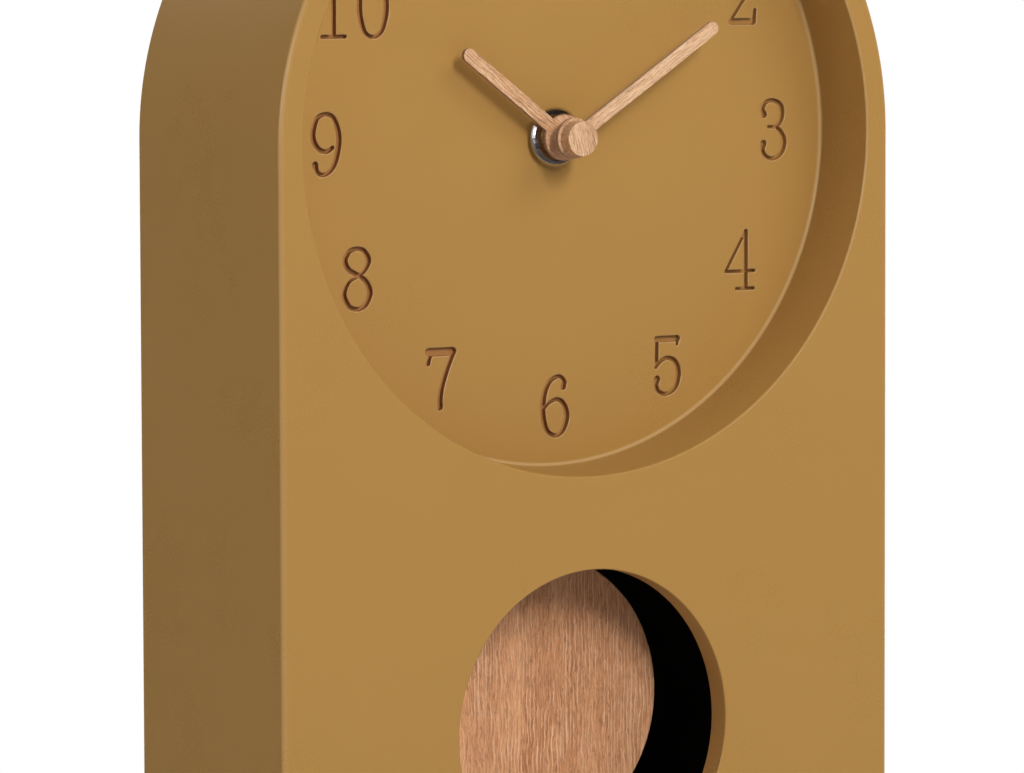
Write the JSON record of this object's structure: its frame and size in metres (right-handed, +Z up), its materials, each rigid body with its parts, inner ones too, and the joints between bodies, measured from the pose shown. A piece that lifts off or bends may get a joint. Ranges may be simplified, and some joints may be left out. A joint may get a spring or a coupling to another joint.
{
  "type": "desk pendulum clock",
  "caption": "Arched desk clock with a deep round dial, oak hands and an oak pendulum swinging behind a round window.",
  "frame": {"origin": "on the table under the middle of the case", "axes": "+X to the right seen from the front, +Y from the front to the back, +Z up"},
  "size_m": [0.145, 0.055, 0.245],
  "materials": {
    "case_plastic": "matte, fine moulded texture",
    "oak": "light oak, open pores, matte",
    "polished_chrome": "polished",
    "cover_plastic": "matte black, fine texture",
    "movement_plastic": "satin black",
    "wheel_plastic": "moulded acetal, satin",
    "brass": "turned",
    "steel": "bright steel",
    "copper_winding": "enamelled copper wire",
    "rubber": "matte black rubber",
    "board": "epoxy board",
    "battery_skin": "printed sleeve, bare ends"
  },
  "bodies": {
    "case": {"case_shell": "case_plastic", "back_cover": "cover_plastic", "back_cover_screws": "steel", "foot_pads": "rubber", "fixing_nut": "polished_chrome", "threaded_bushing": "brass", "dial_washer": "rubber", "movement_case": "movement_plastic", "movement_cover": "movement_plastic", "train_plate": "wheel_plastic", "stator": "steel", "motor_core": "steel", "motor_coil": "copper_winding", "circuit_board": "board", "circuit_chip": "board", "quartz_crystal": "steel", "battery_contact_plus": "brass", "battery_contact_minus": "brass", "pendulum_pin": "steel", "drive_coil": "copper_winding"},
    "minute_work": {"minute_arbor": "brass", "centre_wheel": "wheel_plastic", "minute_hand": "oak", "hand_cap": "oak"},
    "hour_work": {"hour_wheel": "wheel_plastic", "hour_hand": "oak"},
    "motion_work": {"motion_wheel": "wheel_plastic", "setting_knob": "movement_plastic"},
    "third": {"third_wheel": "wheel_plastic"},
    "second": {"second_wheel": "wheel_plastic"},
    "intermediate": {"intermediate_wheel": "wheel_plastic"},
    "rotor": {"rotor_pinion": "wheel_plastic", "rotor_magnet": "steel"},
    "pendulum": {"pendulum_hanger": "movement_plastic", "pendulum_magnet": "steel", "pendulum_rod": "steel", "pendulum_bob": "oak", "bob_clip": "movement_plastic"},
    "battery_cell": {"battery": "battery_skin"}
  },
  "joints": [
    {"name": "minute_turn", "type": "hinge", "parent": "case", "child": "minute_work", "pos_m": [0, 0, 0.1725], "axis": [0, 1, 0], "continuous": true},
    {"name": "hour_turn", "type": "hinge", "parent": "case", "child": "hour_work", "pos_m": [0, 0, 0.1725], "axis": [0, 1, 0], "continuous": true},
    {"name": "setting_turn", "type": "hinge", "parent": "case", "child": "motion_work", "pos_m": [0, 0, 0.1617], "axis": [0, 1, 0], "continuous": true},
    {"name": "third_turn", "type": "hinge", "parent": "case", "child": "third", "pos_m": [-0.009, 0, 0.1725], "axis": [0, 1, 0], "continuous": true},
    {"name": "second_turn", "type": "hinge", "parent": "case", "child": "second", "pos_m": [0, 0, 0.1725], "axis": [0, 1, 0], "continuous": true},
    {"name": "intermediate_turn", "type": "hinge", "parent": "case", "child": "intermediate", "pos_m": [0.006, 0, 0.1725], "axis": [0, 1, 0], "continuous": true},
    {"name": "rotor_turn", "type": "hinge", "parent": "case", "child": "rotor", "pos_m": [0.0116, 0, 0.1725], "axis": [0, 1, 0], "continuous": true},
    {"name": "pendulum_swing", "type": "hinge", "parent": "case", "child": "pendulum", "pos_m": [0, 0, 0.1405], "axis": [0, 1, 0], "range_deg": [-12, 12]},
    {"name": "battery_slide", "type": "slide", "parent": "case", "child": "battery_cell", "axis": [0, 1, 0], "range_m": [0, 0.04]}
  ],
  "couplings": [
    {"joint": "hour_turn", "follows": "minute_turn", "ratio": 0.083333},
    {"joint": "setting_turn", "follows": "minute_turn", "ratio": -0.33333},
    {"joint": "third_turn", "follows": "minute_turn", "ratio": -8},
    {"joint": "second_turn", "follows": "minute_turn", "ratio": 60},
    {"joint": "intermediate_turn", "follows": "minute_turn", "ratio": -300},
    {"joint": "rotor_turn", "follows": "minute_turn", "ratio": 1800}
  ]
}
